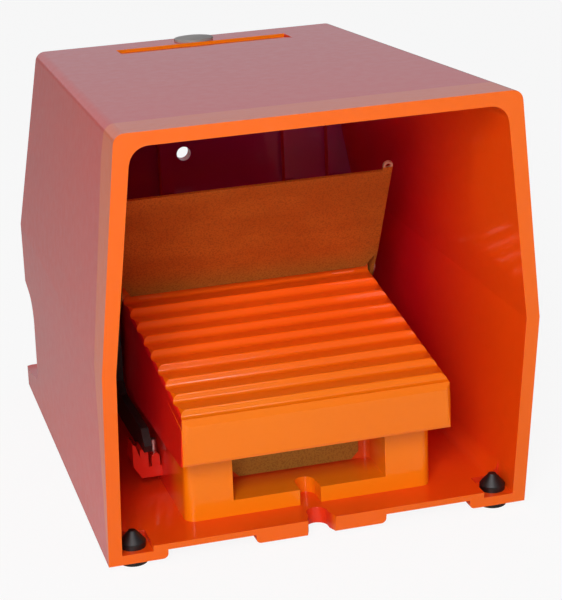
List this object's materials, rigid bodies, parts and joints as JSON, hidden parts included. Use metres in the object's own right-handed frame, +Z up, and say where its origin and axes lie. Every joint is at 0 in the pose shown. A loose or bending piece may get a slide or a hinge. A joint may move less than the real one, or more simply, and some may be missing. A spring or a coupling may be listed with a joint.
{
  "type": "industrial foot switch",
  "caption": "Hooded cast-metal foot switch: a ridged pedal with a toe-operated trigger flap under a deep protective cover, with an inner contact housing and screwed cable entries.",
  "frame": {"origin": "centre of the overall footprint, in the plane that the rubber feet stand on", "axes": "+X across the switch to the right of someone who uses it, +Y from the open front to the back wall, +Z up"},
  "size_m": [0.1606, 0.2067, 0.166],
  "materials": {
    "orange_paint": "orange enamel on cast metal, satin gloss",
    "yellow_zinc": "yellow passivated zinc on sheet steel",
    "steel": "bright zinc plated",
    "spring_steel": "drawn spring wire",
    "dark_steel": "blackened steel",
    "black_rubber": "matt black rubber",
    "grey_plastic": "grey moulded",
    "black_plastic": "black moulded",
    "ivory_plastic": "ivory moulded",
    "red_plastic": "red moulded",
    "bronze": "sintered bronze"
  },
  "bodies": {
    "base": {"hood": "orange_paint", "rubber_feet": "black_rubber", "top_plug": "grey_plastic", "housing": "orange_paint", "base_plate": "steel", "base_gasket": "black_rubber", "base_screws": "steel", "housing_screws": "steel", "pocket_plate": "yellow_zinc", "plate_screws": "steel", "pedal_axle": "steel", "axle_clips": "spring_steel", "axle_washers": "steel", "pedal_springs": "spring_steel", "stop_buffers": "black_rubber", "flap_springs": "spring_steel", "guide_pin": "steel", "plunger_bush": "bronze", "plunger_gaiter": "black_rubber", "contact_block_left": "ivory_plastic", "contact_block_right": "red_plastic", "terminal_screws": "steel", "earth_screw": "yellow_zinc", "entry_plug": "black_plastic", "entry_seal": "black_rubber"},
    "pedal": {"pedal": "orange_paint"},
    "flap": {"trigger_flap": "yellow_zinc", "latch_arm": "dark_steel", "arm_rivets": "steel"},
    "plunger": {"plunger": "black_plastic"},
    "stem_left": {"contact_stem_left": "black_plastic"},
    "stem_right": {"contact_stem_right": "black_plastic"}
  },
  "joints": [
    {"name": "pedal_hinge", "type": "hinge", "parent": "base", "child": "pedal", "pos_m": [0, 0.01335, 0.0685], "axis": [1, 0, 0], "range_deg": [0, 8], "stiffness_Nm_per_rad": 20, "springref_deg": -6.88, "deforming": ["pedal_springs"]},
    {"name": "flap_hinge", "type": "hinge", "parent": "base", "child": "flap", "pos_m": [0, 0.01335, 0.0685], "axis": [-1, 0, 0], "range_deg": [0, 20], "stiffness_Nm_per_rad": 0.4, "springref_deg": -22.92, "deforming": ["flap_springs"]},
    {"name": "plunger_slide", "type": "slide", "parent": "base", "child": "plunger", "axis": [0, 0, -1], "range_m": [0, 0.0052], "deforming": ["plunger_gaiter"]},
    {"name": "stem_left_slide", "type": "slide", "parent": "base", "child": "stem_left", "axis": [0, 0, -1], "range_m": [0, 0.0052]},
    {"name": "stem_right_slide", "type": "slide", "parent": "base", "child": "stem_right", "axis": [0, 0, -1], "range_m": [0, 0.0052]}
  ],
  "couplings": [
    {"joint": "plunger_slide", "follows": "pedal_hinge", "m_per_rad": 0.037},
    {"joint": "stem_left_slide", "follows": "pedal_hinge", "m_per_rad": 0.037},
    {"joint": "stem_right_slide", "follows": "pedal_hinge", "m_per_rad": 0.037}
  ]
}
